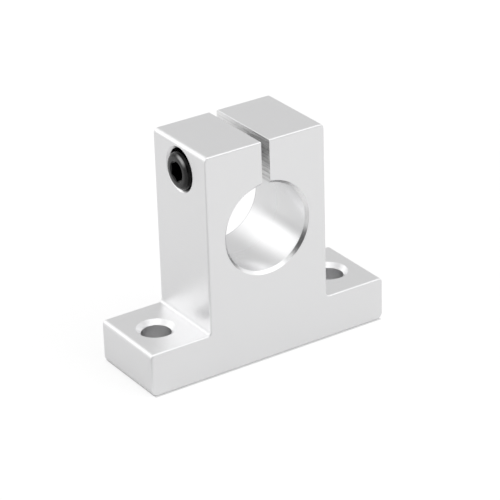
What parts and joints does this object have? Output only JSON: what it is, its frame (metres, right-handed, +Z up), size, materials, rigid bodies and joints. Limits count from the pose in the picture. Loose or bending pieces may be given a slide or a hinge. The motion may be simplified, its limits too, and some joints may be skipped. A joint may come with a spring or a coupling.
{
  "type": "shaft support block",
  "caption": "Clamping shaft support block: an aluminium base and slotted tower whose bore grips a round shaft when its cap screw is tightened.",
  "frame": {"origin": "middle of the mounting face, under the shaft's axis", "axes": "+X along the base, away from the side with the screw head; +Y along the shaft; +Z up from the mounting face"},
  "size_m": [0.06, 0.02, 0.051],
  "materials": {
    "aluminium_block": "satin, extruded and machined, clear anodised",
    "black_steel": "black oxide, slightly glossy"
  },
  "bodies": {
    "block": {"support_block": "aluminium_block"},
    "screw": {"clamp_screw": "black_steel"}
  },
  "joints": [
    {"name": "clamp_screw_turn", "type": "hinge", "parent": "block", "child": "screw", "pos_m": [-0.015, 0, 0.0447], "axis": [-1, 0, 0], "range_deg": [0, 450]}
  ]
}
